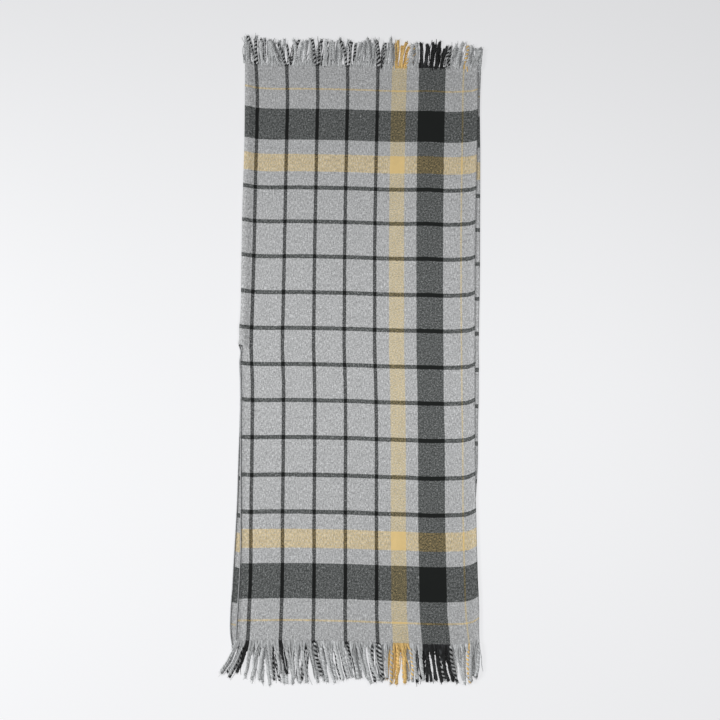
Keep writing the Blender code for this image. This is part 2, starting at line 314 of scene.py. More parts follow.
# The loom's beat is not quite even, so a whole weft row can lie a little off its place
BEATS = make_table("w off", [
    (-790, -4.5), (-731, -2.9), (-672, -0.2), (-582, -1.3), (-541, 0.2), (-491, 1.1), (-446, 0.3),
    (-347, 2.1), (-248, 1.2), (-149, 0.5), (-50, 1.7), (50, 1.5), (149, 1.7), (248, 0.3), (347, 0.8),
    (446, 3.1), (491, 1.4), (541, 1.2), (582, 1.3), (672, 0.7), (731, 1.0), (802, 1.7),
])

# %% The bend, the hem and the model's centre
UNDER_REACH = 4.5             # how far in from the fold the bend ends below,
UPPER_REACH = 10.0            # and above
BEND_START, BEND_MIDDLE, BEND_END = 2.0, 9.5, 22.0  # s below, at the fold and above
BEND_MIDDLE_SHARE = 0.45      # of the roll's height, where the bend reaches furthest out
HEM_CREST = 14                # s of the hem's folded edge: the rest is turned under, twice
HEM_WIDTH = 7
HEM_INNER = HEM_CREST + HEM_WIDTH
MODEL_FOLD = -323.0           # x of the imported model's fold, in the tables' own mm
SEAM_GAP = 0.3                # mm between its panels at the shoulder line
back_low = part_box("back_panel")[0]
shift_x = back_low.x / MM - MODEL_FOLD
shift_y = back_low.y / MM - SEAM_GAP / 2
print(f"the cloth's tables are moved by {shift_x:.2f}, {shift_y:.2f} mm to the model's own centre")


# %% Places in a row
def edges(layer, w):
    """s (or -s, on the under layer) and x of a layer's two edges, in one row."""
    if w < 0:
        first = (HEM_CREST, read(FRONTS, "w", layer + "_slit", w))
    else:
        bend, reach = (BEND_END, UPPER_REACH) if layer == "upper" else (-BEND_START, UNDER_REACH)
        first = (bend, read(BACKS, "w", "fold", w) + reach)
    return first, (HALF_WIDTH, read(BACKS if w >= 0 else FRONTS, "w", layer + "_side", w))


def upper_knots(w):
    """s and x of the upper layer's edges and of the known lines between them, in one row."""
    first, last = edges("upper", w)
    known = [(s, s + EVEN_WARP + read(DRIFTS, "w", line, w)) for line, s in DRIFT_PLACES.items()]
    beside_line = (known[0][0] - EDGE_STRETCH, known[0][1] - EDGE_STRETCH)
    return np.array([first, beside_line, *known, last])


def under_knots(w):
    """-s and x of the under layer's edges, in one row."""
    return np.array(edges("under", w))


def across_row(s, w):
    """x of places s in the row w, in the tables' own mm."""
    upper, under = upper_knots(w), under_knots(w)
    on_upper = np.interp(s, upper[:, 0], upper[:, 1])
    on_under = np.interp(-s, under[:, 0], under[:, 1])
    return np.where(s > BEND_START, on_upper, on_under)


def along_row(s, w):
    """y of places s in the row w, in the tables' own mm."""
    rows = list(SAG_ROWS.values())
    i = int(np.clip(np.searchsorted(rows, w) - 1, 0, len(rows) - 2))
    share = smooth_step((w - rows[i]) / (rows[i + 1] - rows[i]))
    one, two = (read(SAGS, "s", name, s) for name in list(SAG_ROWS)[i : i + 2])
    return w - one - (two - one) * share - read(BEATS, "w", "off", w)


# %% [markdown]
# ## Heights
#
# The under layer lies on the floor and the upper layer on the under one. What keeps the upper layer
# from being a flat board is small: the roll beside the fold, broad swells where air is left between
# the layers, short soft creases, fine ripples where the fringe pulls the ends together, and edges that
# curl up a little. Each is a term of one height function, so they add up as they do in cloth.

# %% Height tables
CLOTH = 1.4                   # mm of brushed cloth
LAYER_GAP = 0.4
REST_GAP = 0.05               # the nap keeps the under layer just off the floor
HEM_HEIGHT = 3.0
# The roll beside the fold, by the distance from the fold's outer edge
ROLL = make_table("from_edge share", [
    (0, 0.30), (4, 0.60), (7, 0.86), (10, 1.0), (13, 0.98), (17, 0.80), (22, 0.50), (27, 0.25),
    (33, 0.07), (40, 0.0),
])
ROLL_FADE = 16                # mm of the slit over which the roll dies away
HEM_LIFT_LENGTH = 380         # of the slit, where one hem lies on the other; it fades over the last third
HEM_STEP = 8                  # mm over which the hem's height falls to that of single cloth
CORD_PILE = 4.4               # the under layer's fringe, where the upper cloth lies on it
PILE_RISE = 30                # mm over which the upper cloth rises on to it
SWELLS = make_table("x y half_width half_length height", [
    (150, 520, 120, 210, 1.8), (-120, 250, 140, 160, 1.3), (230, 40, 80, 190, 2.0),
    (-60, -330, 170, 150, 1.6), (210, -520, 90, 170, 2.2), (-240, -610, 60, 150, 1.8),
])
# Soft creases: where the middle is, which way it runs (degrees from +Y, towards +X) and its size
CREASES = make_table("x y turn half_width half_length height", [
    (-205, 565, 8, 13, 110, 0.7), (-60, 690, -4, 10, 75, 0.6), (96, 560, 3, 9, 90, 0.8),
    (118, 545, -2, 8, 70, -0.5), (262, 610, -10, 15, 120, -0.8), (20, 330, 32, 14, 95, 0.5),
    (-150, 120, -24, 16, 120, 0.6), (140, 150, 14, 15, 140, -0.6), (278, -120, 4, 12, 150, 0.8),
    (-30, -90, 40, 15, 90, -0.5), (70, -330, -18, 16, 130, 0.6), (-235, -300, 6, 12, 120, -0.6),
    (104, -545, 2, 8, 80, 0.7), (-196, -560, -7, 9, 85, 0.7), (-120, -700, 5, 10, 70, 0.6),
    (190, -700, -12, 14, 95, -0.7), (285, -640, -6, 11, 110, 1.0), (-262, -720, -14, 9, 70, 0.8),
    (-297, -505, -9, 6, 70, 0.8), (-256, -505, 2, 6, 50, 0.6), (-150, -508, -2, 7, 45, -0.6),
])
# How high the open side's edge curls up, and over what width
CURLS = make_table("w upper under", [
    (-790, 5.0, 0.8), (-600, 3.6, 0.6), (-300, 2.0, 1.2), (0, 1.8, 1.6), (300, 2.2, 1.6),
    (600, 3.0, 2.0), (804, 3.6, 2.4),
])
CURL_WIDTH = 20
RIPPLE_HEIGHT, RIPPLE_FADE = 0.28, 95       # at the very end, and how far from it they reach
PUCKER_HEIGHT = 0.20
PUCKER_S, PUCKER_W = 437, 520               # the middle of the amber bands' crossings
# y of the under layer's ends, beside the fold and at the open side
UNDER_SIDES = (-321, 345)
UNDER_BACK_END, UNDER_FRONT_END = (804, 774), (-796, -800)
print("the cloth's height has", len(SWELLS), "swells and", len(CREASES), "creases")


# %% Height terms
def curled_share(s):
    return smooth_step((np.abs(s) - HALF_WIDTH) / CURL_WIDTH + 1) ** 1.5


def creases(x, y):
    height = np.zeros_like(x)
    for c in CREASES:
        turn = math.radians(c.turn)
        along = ((x - c.x) * math.sin(turn) + (y - c.y) * math.cos(turn)) / c.half_length
        across = ((x - c.x) * math.cos(turn) - (y - c.y) * math.sin(turn)) / c.half_width
        height += c.height * np.exp(-across * across) * smooth_step(1.0 - np.abs(along))
    return height


def swells(x, y):
    height = np.zeros_like(x)
    for swell in SWELLS:
        away = np.hypot((x - swell.x) / swell.half_width, (y - swell.y) / swell.half_length)
        height += swell.height * smooth_step(1.0 - away)
    return height


def ripples(s, w):
    """Fine ripples along the warp, strongest at the ends and in the amber bands near them."""
    to_end = np.where(w > 0, BACK_LENGTH - w, FRONT_LENGTH + w)
    # Waves 33 mm and 51 mm long, which slip past each other, so that they never repeat
    waves = np.sin(s / 5.3 + 0.9 * np.sin(s / 31)) + 0.7 * np.sin(s / 8.1 + 1.3)
    puckers = np.exp(-(((np.abs(w) - PUCKER_W) / 60) ** 2)) * np.exp(-(((s - PUCKER_S) / 70) ** 2))
    return waves * (RIPPLE_HEIGHT * smooth_step(1 - to_end / RIPPLE_FADE) + PUCKER_HEIGHT * puckers)


def fold_roll(from_edge, w):
    """How far the upper layer stands above its flat height beside the fold or the slit."""
    rise = read(BACKS, "w", "fold_height", max(w, 0)) - 2 * CLOTH - LAYER_GAP
    if w < 0:
        over_hem = (HEM_HEIGHT - CLOTH) * (1 - smooth_step(-3 * w / HEM_LIFT_LENGTH - 2))
        share = smooth_step(-w / ROLL_FADE)
        rise = (rise - HEM_HEIGHT + CLOTH) * (1 - share) + over_hem * share
    return rise * read(ROLL, "from_edge", "share", from_edge)


def hem_rise(from_edge):
    """The step from the folded hem down to the single cloth beside it."""
    return (HEM_HEIGHT - CLOTH) * (1 - smooth_step((from_edge - HEM_WIDTH + 1) / HEM_STEP))


def past_under_end(x, y):
    """How far places are past the nearer end of the under layer; below 0, they are on it."""
    back_end, front_end = (np.interp(x, UNDER_SIDES, e) for e in (UNDER_BACK_END, UNDER_FRONT_END))
    return np.where(y > 0, y - back_end, front_end - y)


def pile_below(x, y):
    """The top of what the upper layer lies on: the under cloth, or its fringe past the ends."""
    return CLOTH + (CORD_PILE - CLOTH) * smooth_step((past_under_end(x, y) + 4) / PILE_RISE)


# %% [markdown]
# ## One place for every point
#
# lay_row() is the heart of the garment: it takes places s in one row w of the flat, uncut cloth and
# gives their points as the garment lies, in metres. The bend of the fold is two quarters of an
# ellipse, one below and one above. The hems, the stitches and the fringe ask the same function where
# the cloth is.


# %% The cloth's points
def upper_height(s, x, y, w):
    """Height of the middle of the upper layer's thickness, in mm."""
    from_edge = x - upper_knots(w)[0][1] + (UPPER_REACH if w >= 0 else 0)
    height = pile_below(x, y) + LAYER_GAP + CLOTH / 2 + fold_roll(from_edge, w)
    height = height + swells(x, y) + creases(x, y) + ripples(s, w)
    height = height + read(CURLS, "w", "upper", w) * curled_share(s)
    return height + hem_rise(from_edge) if w < 0 else height


def under_height(s, x, w):
    """Height of the middle of the under layer's thickness, in mm."""
    height = CLOTH / 2 + REST_GAP + read(CURLS, "w", "under", w) * curled_share(s)
    return height + hem_rise(x - under_knots(w)[0][1]) if w < 0 else height


def bend_round(s, x, z, w):
    """Takes the places between the layers round the fold: two quarters of an ellipse."""
    fold = read(BACKS, "w", "fold", w)
    top = np.array([BEND_END])
    crest = upper_height(top, across_row(top, w), along_row(top, w), w)[0]
    low = CLOTH / 2 + REST_GAP
    middle = low + BEND_MIDDLE_SHARE * (crest - low)
    below = np.clip((s - BEND_START) / (BEND_MIDDLE - BEND_START), 0, 1) * math.pi / 2
    above = np.clip((BEND_END - s) / (BEND_END - BEND_MIDDLE), 0, 1) * math.pi / 2
    below_x = fold + UNDER_REACH - (UNDER_REACH - CLOTH / 2) * np.sin(below)
    above_x = fold + UPPER_REACH - (UPPER_REACH - CLOTH / 2) * np.sin(above)
    below_z = middle - (middle - low) * np.cos(below)
    above_z = middle + (crest - middle) * np.cos(above)
    bent = (s > BEND_START) & (s < BEND_END)
    over = s >= BEND_MIDDLE
    bent_x, bent_z = np.where(over, above_x, below_x), np.where(over, above_z, below_z)
    return np.where(bent, bent_x, x), np.where(bent, bent_z, z)


def lay_row(s, w):
    """Points of the middle of the cloth's thickness, for places s in row w, in metres."""
    s = np.asarray(s, float)
    x, y = across_row(s, w), along_row(s, w)
    z = np.where(s > BEND_START, upper_height(s, x, y, w), under_height(s, x, w))
    if w >= 0:
        x, z = bend_round(s, x, z, w)
    return np.stack([x + shift_x, y + shift_y, z], axis=-1) * MM


# %% [markdown]
# ## The woven cloth
#
# A grid of faces stands for the flat rectangle. bmesh cuts the slit in it, each point is laid where
# lay_row() says, and a UV map named "woven" keeps the flat coordinates, so that the plaid follows the
# threads round the fold. Solidify gives it a wall. The faces are narrow where the cloth bends: at the
# fold, beside the slit and along the open edges.

# %% Cloth rows and columns
def spread(*stops):
    """Places from the first stop to the last; each later stop is (place, number of steps)."""
    places = [stops[0]]
    for place, steps in stops[1:]:
        places += list(np.linspace(places[-1], place, steps + 1)[1:])
    return [float(place) for place in places]


columns = spread(
    -HALF_WIDTH, (-627, 6), (-HEM_INNER - 16, 24), (-HEM_INNER, 4),
    (BEND_START, 5), (BEND_MIDDLE, 6), (BEND_END, 9), (60, 14), (625, 72), (HALF_WIDTH, 9),
)
columns[columns.index(BEND_END) - 1] = HEM_INNER  # the seam with the hem
front_rows = spread(-FRONT_LENGTH, (-700, 14), (-60, 76), (0, 20))
back_rows = spread(0, (24, 6), (710, 82), (BACK_LENGTH, 15))
print(len(columns) - 1, "columns and", len(front_rows) + len(back_rows) - 2, "rows of faces")


# %% Make the cloth
def finish_piece(name, piece, materials):
    """Turns a bmesh into a smooth object at the origin."""
    data = bpy.data.meshes.new(name)
    piece.to_mesh(data)
    piece.free()
    for material in materials:
        data.materials.append(material)
    data.shade_smooth()
    obj = bpy.data.objects.new(name, data)
    bpy.context.collection.objects.link(obj)
    return obj


def flat_grid(columns, rows):
    """A grid whose points carry their flat place (s, w) as x and y, and as the UV map named woven."""
    grid = bmesh.new()
    bmesh.ops.create_grid(grid, x_segments=len(columns) - 1, y_segments=len(rows) - 1, size=0.5)
    for point in grid.verts:
        point.co.x = columns[round((point.co.x + 0.5) * (len(columns) - 1))]
        point.co.y = rows[round((point.co.y + 0.5) * (len(rows) - 1))]
    woven = grid.loops.layers.uv.new("woven")
    for face in grid.faces:
        for corner in face.loops:
            corner[woven].uv = corner.vert.co.xy * MM
    return grid


def lay_points(grid, place_row):
    """Moves a flat grid's points, a row at a time, to where place_row(s, w) says."""
    rows = {}
    for point in grid.verts:
        rows.setdefault(point.co.y, []).append(point)
    for w, points in rows.items():
        points.sort(key=lambda point: point.co.x)
        for point, place in zip(points, place_row([point.co.x for point in points], w)):
            point.co = place


def give_wall(piece, thickness):
    wall = piece.modifiers.new("wall", "SOLIDIFY")
    wall.thickness = thickness
    wall.offset = 0.0
    wall.use_even_offset = True


flat_cloth = flat_grid(columns, front_rows + back_rows[1:])
slit = []
for face in flat_cloth.faces:
    middle = face.calc_center_median()
    if abs(middle.x) < HEM_INNER and middle.y < 0:
        slit.append(face)
bmesh.ops.delete(flat_cloth, geom=slit, context="FACES")
lay_points(flat_cloth, lay_row)
# The grid faces up where s grows to +X, so the under layer faces down: outwards on both sides
cloth = finish_piece("woven_cloth", flat_cloth, [])
give_wall(cloth, CLOTH * MM)
print("woven cloth:", len(cloth.data.polygons), "faces before its wall")

# %% [markdown]
# ## The slit's hems
#
# Both edges of the slit are turned under twice, about 7 mm wide. Each hem is a narrow grid too. Its
# columns go from the panel over a rounded crest to the folded edge, and back underneath. Its woven
# coordinates go on from the panel's, so the plaid crosses the seam without a step.

# %% Hem profile
# From the panel, over the top, round the folded edge and back below (mm from the edge, mm up)
HEM_PROFILE = make_table("across up", [
    (7.0, 2.30), (5.6, 2.72), (4.2, 2.72), (2.8, 2.45), (1.7, 2.10), (0.95, 1.75), (0.65, 1.35),
    (0.85, 0.98), (1.45, 0.82), (3.0, 0.76), (6.6, 0.76),
])
HEM_ACROSS = np.array(column(HEM_PROFILE, "across"))
HEM_UP = np.array(column(HEM_PROFILE, "up")) - HEM_PROFILE[0].up  # above the panel's middle
hem_lengths = [0.0]
for one, two in zip(HEM_PROFILE, HEM_PROFILE[1:]):
    hem_lengths.append(hem_lengths[-1] + math.hypot(two.across - one.across, two.up - one.up))
HEM_WALL = 1.3
HEM_TOP = 0.5                 # mm of the slit: its first row, where both hems run into the fold
INSIDE = 6                    # mm in from the hem, where a second point gives the weft's slope


def hem_row(side, w):
    """The points of a hem's profile in row w; side is 1 for the upper layer and -1 for the under one."""
    w = min(w, -HEM_TOP)
    panel, inside = lay_row([side * HEM_INNER, side * (HEM_INNER + INSIDE)], w) / MM
    edge_x = edges("upper" if side > 0 else "under", w)[0][1] + shift_x
    width = panel[0] - edge_x
    along = panel[1] + (panel[1] - inside[1]) * (HEM_WIDTH - HEM_ACROSS) / INSIDE
    return np.stack([edge_x + HEM_ACROSS * width / HEM_WIDTH, along, panel[2] + HEM_UP], axis=-1) * MM


# %% Make the hems
hems = []
for name, side in (("upper_slit_hem", 1), ("under_slit_hem", -1)):
    strip = flat_grid([side * (HEM_INNER - length) for length in hem_lengths], front_rows)
    # On the upper layer the columns run the other way, from the folded edge to the panel
    order = -side
    lay_points(strip, lambda s, w: hem_row(side, w)[:: order])
    bmesh.ops.recalc_face_normals(strip, faces=strip.faces[:])
    highest = max(strip.faces, key=lambda face: face.calc_center_median().z)
    if highest.normal.z < 0:
        bmesh.ops.reverse_faces(strip, faces=strip.faces[:])
    hem = finish_piece(name, strip, [])
    give_wall(hem, HEM_WALL * MM)
    hems.append(hem)
print("hems:", [len(hem.data.polygons) for hem in hems], "faces")

# %% [markdown]
# ## Brushed plaid cloth
#
# The real cloth is a soft acrylic and wool twill, brushed until its fibres stand up. Where two colours
# cross, each shows as half of the threads, and the nap blends them: black over grey reads as charcoal,
# and amber over grey as straw. Mixing the two yarn colours as plain light comes out too pale, because
# dark fibres shade the light ones, so the mix is taken on a power of the colours.
#
# Three scales of detail go on top: the diagonal ribs of the twill, about 1.1 mm a thread, which show
# only close up; the speckle of the brushed nap, drawn 2 to 3 mm wide so that it shows from where the
# camera is; and a slow unevenness, a few centimetres wide. Noise has its scale in cells to a metre.

# %% Colours of the sett
MIX_POWER = 0.27
# Fibres and stripes' edges are drawn out along the threads, less so along the crimped weft
WARP_STRETCH, WEFT_STRETCH = (1.0, 0.35, 1.0), (0.7, 1.0, 1.0)
FIBRES = 330.0                # to a metre: locks of fibre are 3 mm wide
MELANGE = 1.15                # how far the grey yarn's fibres differ
STRAYS = 160.0                # to a metre: a stripe's edge strays every 6 mm,
WANDER = 2.2 * MM             # by this much, both ways together


def on_power(colour):
    return [part**MIX_POWER for part in colour]


def sett_colour(tree, woven, across, stripes, yarns):
    """The colour of one set of threads, on the mixing power, counted from the middle of the cloth."""
    stretch = WARP_STRETCH if across == "X" else WEFT_STRETCH
    drawn_out = add(tree, "Mapping", {"Vector": woven, "Scale": stretch})
    fibres = add(tree, "TexNoise", {"Vector": drawn_out, "Scale": FIBRES, "Detail": 3.0, "Roughness": 0.7})
    tone = add(tree, "Math", {0: fibres, 1: MELANGE, 2: 1 - MELANGE / 2}, operation="MULTIPLY_ADD")
    colour = add(tree, "VectorMath", {0: on_power(yarns["grey"]), "Scale": tone}, operation="SCALE")

    # No stripe has a ruled edge
    stray = add(tree, "TexNoise", {"Vector": drawn_out, "Scale": STRAYS, "Roughness": 0.6})
    place = add(tree, "SeparateXYZ", {"Vector": woven}, across)
    place = add(tree, "Math", {0: stray, 1: WANDER, 2: place}, operation="MULTIPLY_ADD")
    place = add(tree, "Math", {0: place, 1: WANDER / 2}, operation="SUBTRACT")
    place = add(tree, "Math", {0: place}, operation="ABSOLUTE")
    for stripe in stripes:
        middle, half_width = (stripe.start + stripe.end) / 2 * MM, (stripe.end - stripe.start) / 2 * MM
        inside = add(tree, "Math", {0: place, 1: middle, 2: half_width}, operation="COMPARE")
        dyed = [*on_power(yarns[stripe.yarn]), 1.0]
        colour = add(tree, "Mix", {0: inside, 6: colour, 7: dyed}, 2, data_type="RGBA")
    return colour


# %% Plaid material
THREAD = 1.1 * MM
RIB_SHOW = 0.10               # how strongly the ribs choose between warp and weft,
CLUMPS, CLUMP_SHOW = 240.0, 0.95            # and clumps of nap, 4 mm wide
UNEVEN, UNEVEN_SHOW = 32.0, 0.06            # lighter and darker places, 30 mm wide
# Painted shade along the open side edges, for the shade where the edge rounds away: where it starts, where
# it is darkest, and how dark
PAINTED_EDGE_SHADE_SPAN = (647.5 * MM, 649 * MM)           # where it starts, and is fully dark
PAINTED_EDGE_SHADE = 0.965
NAP, NAP_RELIEF = 700.0, 0.9                # fibres of the nap, 1.4 mm wide
FELT, FELT_RELIEF = 130.0, 0.9              # felted places, 8 mm wide
RIB_RELIEF = 0.10


def make_plaid(name, shade):
    """The plaid cloth's material. shade darkens it, for the hem that is handled and pressed."""
    material, tree, shader = new_material(name)
    woven = add(tree, "UVMap", {}, uv_map="woven")
    warp = sett_colour(tree, woven, "X", WARP_STRIPES, WARP_YARNS)
    weft = sett_colour(tree, woven, "Y", WEFT_STRIPES, WEFT_YARNS)

    # Which thread is on top: the twill's diagonal ribs, blurred by clumps of nap
    s = add(tree, "SeparateXYZ", {"Vector": woven}, "X")
    w = add(tree, "SeparateXYZ", {"Vector": woven}, "Y")
    slant = add(tree, "Math", {0: s, 1: w}, operation="SUBTRACT")
    turn = add(tree, "Math", {0: slant, 1: math.pi / (2 * THREAD)}, operation="MULTIPLY")
    ribs = add(tree, "Math", {0: turn}, operation="SINE")
    clumps = add(tree, "TexNoise", {"Vector": woven, "Scale": CLUMPS, "Detail": 1.0, "Roughness": 0.6})
    clumped = add(
        tree, "Math", {0: clumps, 1: CLUMP_SHOW, 2: 0.5 - CLUMP_SHOW / 2}, operation="MULTIPLY_ADD",
    )
    on_top = add(tree, "Math", {0: ribs, 1: RIB_SHOW, 2: clumped}, operation="MULTIPLY_ADD")
    mixed = add(tree, "Mix", {0: on_top, 6: warp, 7: weft}, 2, data_type="RGBA", clamp_factor=True)

    # No hand's width of brushed cloth is quite even
    slow = add(tree, "TexNoise", {"Vector": woven, "Scale": UNEVEN, "Detail": 3.0, "Roughness": 0.6})
    tone = add(
        tree, "Math", {0: slow, 1: UNEVEN_SHOW, 2: shade - UNEVEN_SHOW / 2}, operation="MULTIPLY_ADD",
    )

    # Painted shade along the open side edges: the outermost 3 mm of the cloth are drawn a little darker,
    # for the shade where the edge rounds away
    from_slit = add(tree, "Math", {0: s}, operation="ABSOLUTE")
    edge_shade_factor = add(tree, "MapRange", {
        "Value": from_slit, "From Min": PAINTED_EDGE_SHADE_SPAN[0], "From Max": PAINTED_EDGE_SHADE_SPAN[1],
        "To Min": 1.0, "To Max": PAINTED_EDGE_SHADE,
    })
    tone = add(tree, "Math", {0: tone, 1: edge_shade_factor}, operation="MULTIPLY")
    toned = add(tree, "VectorMath", {0: mixed, "Scale": tone}, operation="SCALE")

    # Relief: the ribs, the nap and a felted unevenness
    nap = add(tree, "TexNoise", {"Vector": woven, "Scale": NAP, "Detail": 3.0, "Roughness": 0.7})
    felt = add(tree, "TexNoise", {"Vector": woven, "Scale": FELT, "Detail": 2.0, "Roughness": 0.6})
    relief = add(tree, "Math", {0: nap, 1: NAP_RELIEF}, operation="MULTIPLY")
    relief = add(tree, "Math", {0: ribs, 1: RIB_RELIEF, 2: relief}, operation="MULTIPLY_ADD")
    relief = add(tree, "Math", {0: felt, 1: FELT_RELIEF, 2: relief}, operation="MULTIPLY_ADD")
    set_inputs(tree, shader, {
        "Base Color": add(tree, "Gamma", {"Color": toned, "Gamma": 1 / MIX_POWER}),
        "Normal": add(tree, "Bump", {"Height": relief, "Distance": 0.5 * MM, "Strength": 0.8}, "Normal"),
        "Roughness": 0.95, "Specular IOR Level": 0.16, "Sheen Weight": 0.08, "Sheen Roughness": 0.6,
    })
    return material


# Brushed acrylic and wool twill: it gives the eye a soft, dry, speckled surface with no shine
plaid = make_plaid("brushed_plaid_twill", 1.0)
cloth.data.materials.append(plaid)
# The same twill, turned and pressed: a shade darker, because its nap lies flat
hem_plaid = make_plaid("pressed_plaid_hem", 0.985)
for hem in hems:
    hem.data.materials.append(hem_plaid)
print("cloth materials:", plaid.name, "and", hem_plaid.name)

# %% [markdown]
# ## Bending a rod along a path
#
# Cords, stray fibres and stitches are all soft rods that follow a path. A rod is made once: a straight
# cylinder of unit length, cut into rings. bend_rod() then gives the points of a copy whose middle
# follows a path, with the width and thickness of each ring. join_rods() puts all the copies in one
# mesh. Two attributes on the points go with each copy: its yarn's colour, and its place round and along
# the yarn, which the material reads for the streaks of the fibres.

# %% Rods
Rod = namedtuple("Rod", "mesh around along rings")
Bent = namedtuple("Bent", "rod points colour length tones")  # points and length in mm
FIBRE_STEP = 37.0             # mm from one rod's place in the fibres' pattern to the next one's


def make_rod(sides, rings):
    """A straight rod, with each point's place around (radians) and along (ring number)."""
    rod = bmesh.new()
    bmesh.ops.create_cone(
        rod, cap_ends=True, segments=sides, radius1=1.0, radius2=1.0, depth=1.0,
        matrix=Matrix.Translation((0, 0, 0.5)),
    )
    long_edges = [e for e in rod.edges if abs(e.verts[0].co.z - e.verts[1].co.z) > 0.5]
    bmesh.ops.subdivide_edges(rod, edges=long_edges, cuts=rings - 2, use_grid_fill=True)
    data = bpy.data.meshes.new("rod")
    rod.to_mesh(data)
    rod.free()
    points = np.array([point.co for point in data.vertices])
    around = np.arctan2(points[:, 1], points[:, 0])
    along = np.rint(points[:, 2] * (rings - 1)).astype(int)
    return Rod(data, around, along, rings)


def path_axes(path):
    """Two axes square to the path at each of its points: one level, and one as upright as can be."""
    ahead = np.gradient(path, axis=0)
    ahead /= np.linalg.norm(ahead, axis=1)[:, None]
    level = np.cross([0.0, 0.0, 1.0], ahead)
    length = np.linalg.norm(level, axis=1)[:, None]
    level = np.where(length > 1e-6, level / np.maximum(length, 1e-9), [1.0, 0.0, 0.0])
    return level, np.cross(ahead, level)


def path_length(path):
    """Length from the path's start to each of its points."""
    steps = np.linalg.norm(np.diff(path, axis=0), axis=1)
    return np.concatenate([[0.0], np.cumsum(steps)])


def bend_rod(rod, path, half_width, half_height, colour, tones=1.0):
    """A copy of the rod along a path; the path and its half sizes have a row for each ring."""
    ring = rod.along
    level, upright = path_axes(path)
    outwards = (np.cos(rod.around) * half_width[ring])[:, None] * level[ring]
    upwards = (np.sin(rod.around) * half_height[ring])[:, None] * upright[ring]
    tones = np.broadcast_to(tones, ring.shape)
    return Bent(rod, path[ring] + outwards + upwards, colour, path_length(path)[-1], tones)


def join_rods(name, copies, material):
    """One object from many bent rods."""
    whole = bmesh.new()
    colours, fibres = [], []
    for number, copy in enumerate(copies):
        rod = copy.rod
        rod.mesh.vertices.foreach_set("co", (copy.points * MM).astype(np.float32).ravel())
        whole.from_mesh(rod.mesh)
        colours.append(np.minimum([*copy.colour, 1.0] * copy.tones[:, None] ** [1, 1, 1, 0], 1.0))
        along = rod.along / (rod.rings - 1) * copy.length + FIBRE_STEP * number
        fibres.append(np.stack([np.cos(rod.around), np.sin(rod.around), along], axis=-1))
    bmesh.ops.recalc_face_normals(whole, faces=whole.faces[:])
    piece = finish_piece(name, whole, [material])
    yarn_layer = piece.data.attributes.new("yarn", "FLOAT_COLOR", "POINT")
    yarn_layer.data.foreach_set("color", np.concatenate(colours).astype(np.float32).ravel())
    fibre_layer = piece.data.attributes.new("fibre", "FLOAT_VECTOR", "POINT")
    fibre_layer.data.foreach_set("vector", np.concatenate(fibres).astype(np.float32).ravel())
    return piece


# %% [markdown]
# ## Yarn
#
# The cords and the stitches are soft spun yarn, a little hairy, with no shine. Its colour is in an
# attribute on the points. The fibres in it run along it, so the streaks are noise on the place round and
# along the yarn: narrow round it and long along it.

# %% Yarn material
STREAK = (1.0, 1.0, 0.11)     # along the yarn a streak is 9 mm long


def make_yarn(name, contrast):
    """Spun yarn; contrast is how far its fibres differ from the yarn's colour."""
    material, tree, shader = new_material(name)
    colour = add(tree, "Attribute", {}, "Color", attribute_name="yarn")
    place = add(tree, "Attribute", {}, "Vector", attribute_name="fibre")
    drawn_out = add(tree, "Mapping", {"Vector": place, "Scale": STREAK})
    fibres = add(tree, "TexNoise", {"Vector": drawn_out, "Scale": 1.0, "Detail": 4.0, "Roughness": 0.75})
    tone = add(tree, "Math", {0: fibres, 1: 2 * contrast, 2: 1 - contrast}, operation="MULTIPLY_ADD")
    set_inputs(tree, shader, {
        "Base Color": add(tree, "VectorMath", {0: colour, "Scale": tone}, operation="SCALE"),
        "Normal": add(tree, "Bump", {"Height": fibres, "Distance": 0.5 * MM, "Strength": 0.9}, "Normal"),
        "Roughness": 0.9, "Specular IOR Level": 0.25, "Sheen Weight": 0.1, "Sheen Roughness": 0.6,
    })
    return material


# Twisted singles of the cloth's own warp: soft, dry cords, streaked along the fibres
warp_yarn = make_yarn("twisted_warp_yarn", 1.1)
# Overlock thread, spun harder: finer and more even than the warp
hem_thread = make_yarn("spun_hem_thread", 0.25)

# %% [markdown]
# ## Overcast stitches
#
# Each hem's folded edge is overcast: pale stitches wrap it, and a line of running stitches holds
# them, about 3 mm in. The running stitches are near black partly as painted shade: their colour
# stands for the dark groove inside the hem's edge as well as for the thread. A real thread is about
# 0.4 mm thick, with a stitch every 0.8 mm; here both rows are drawn twice as coarse, so that they show
# as rows. An overcast stitch is a flat rod laid on the hem's own profile, from the top of the hem, down
# round its edge and under it. It slants a little, as the thread goes on to the next hole. A running
# stitch lies along the hem and dips in at both ends.

# %% Stitch the hems
# The dark thread's near-black is partly painted shade, for the groove inside the hem's edge
PALE_THREAD, SHADE_DARK_THREAD = linear("#B8BABC"), linear("#2C2E30")
STITCH_STEP, STITCH_SLANT = 1.5, 1.1
STITCH_HALF_WIDTH, STITCH_HALF_HEIGHT = 0.75, 0.32
STITCH_REACH = 2.0            # how far in over the hem's top the overcast stitches go
STITCH_END = 7.6              # the row of the profile where they go back in, below the edge
TOP_ROWS = 7                  # rows of the profile from the panel to the folded edge
RUN_STEP, RUN_LENGTH, RUN_IN = 3.4, 3.2, 3.2
RUN_HALF_WIDTH, RUN_HALF_HEIGHT = 1.15, 0.36
# Painted shadow: at the slit's start three dark stitches lie side by side over the small dark hole where
# the hems leave the fold
SHADOW_TACK_START = -5.5        # at the slit's start the thread goes over itself, side by side
SHADOW_TACK = (-2.2, -0.8, 0.6)
stitch_rod = make_rod(4, 6)


def top_row(inwards):
    """The row of the profile, between its whole rows, that is this far in on the hem's top."""
    return float(np.interp(-inwards, -HEM_ACROSS[:TOP_ROWS], range(TOP_ROWS)))


def on_hem(side, w, rows):
    """Points in mm at places on the hem's profile, given as its rows."""
    profile = hem_row(side, w) / MM
    return np.stack([np.interp(rows, range(len(profile)), part) for part in profile.T], axis=-1)


